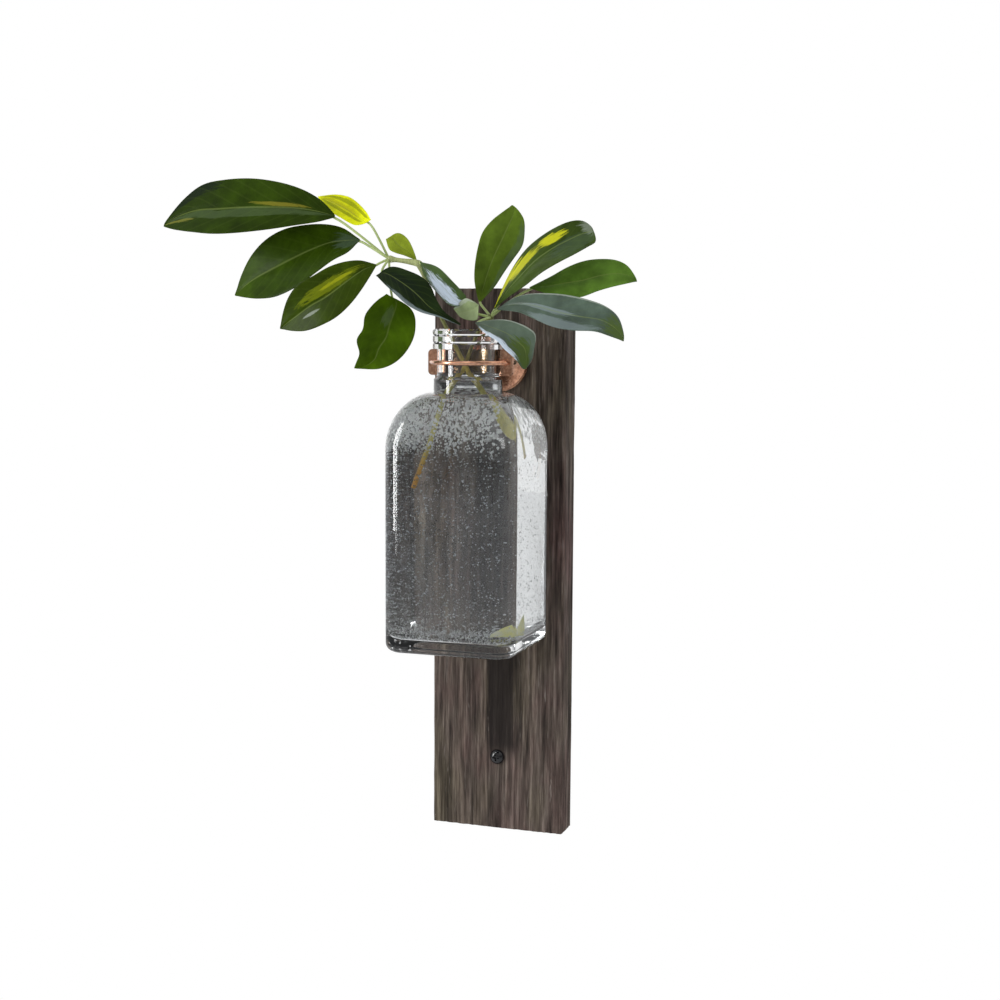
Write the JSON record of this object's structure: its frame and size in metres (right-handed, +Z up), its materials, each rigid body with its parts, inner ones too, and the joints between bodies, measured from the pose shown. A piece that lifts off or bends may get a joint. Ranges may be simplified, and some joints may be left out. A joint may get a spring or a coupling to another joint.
{
  "type": "hanging wall vase",
  "caption": "Clear square glass bottle held by its neck in a copper bell hanger on an upright weathered plank, with two leafy cuttings standing in it.",
  "frame": {"origin": "midway between the two wall fixings, on the board's back face", "axes": "+Z up the board, +Y into the wall, +X to the right seen from the front"},
  "size_m": [0.2755, 0.14, 0.387],
  "materials": {
    "weathered_wood": "dry weathered grey-brown grain",
    "black_screw": "satin black oxide",
    "steel_bolt": "zinc plated",
    "copper": "bright copper plate, a little tarnished",
    "clear_glass": "clear moulded glass",
    "green_stem": "fresh green stem",
    "green_leaf": "waxy green leaf",
    "variegated_leaf": "waxy green leaf with yellow streaks",
    "yellowed_leaf": "wet yellowed leaf"
  },
  "bodies": {
    "root": {"wood_board": "weathered_wood", "wall_screw": "black_screw", "hanger_bolt": "steel_bolt", "bell_cover": "copper", "neck_strap": "copper", "hoop_washers": "copper", "hoop_nuts": "copper"},
    "hoop": {"neck_hoop": "copper"},
    "bottle": {"glass_bottle": "clear_glass", "fallen_leaf": "yellowed_leaf"},
    "left_cutting": {"left_stem": "green_stem", "left_leaflet_1": "variegated_leaf", "left_leaflet_2": "green_leaf", "left_leaflet_3": "variegated_leaf", "left_leaflet_4": "variegated_leaf", "left_leaflet_5": "green_leaf", "left_leaflet_6": "green_leaf", "left_leaflet_7": "green_leaf", "left_leaflet_8": "green_leaf"},
    "right_cutting": {"right_stem": "green_stem", "right_leaflet_1": "green_leaf", "right_leaflet_2": "variegated_leaf", "right_leaflet_3": "green_leaf", "right_leaflet_4": "green_leaf", "right_leaflet_5": "green_leaf", "right_leaflet_6": "green_leaf"}
  },
  "joints": [
    {"name": "hoop_release", "type": "slide", "parent": "root", "child": "hoop", "axis": [0, -1, 0], "range_m": [0, 0.045]},
    {"name": "bottle_swivel", "type": "hinge", "parent": "hoop", "child": "bottle", "pos_m": [0, -0.074, 0.119], "axis": [0, 0, 1], "range_deg": [-25, 25]},
    {"name": "left_cutting_lift", "type": "slide", "parent": "bottle", "child": "left_cutting", "axis": [-0.4751, 0, 0.8799], "range_m": [0, 0.11]},
    {"name": "right_cutting_lift", "type": "slide", "parent": "bottle", "child": "right_cutting", "axis": [0.3552, 0, 0.9348], "range_m": [0, 0.12]}
  ]
}
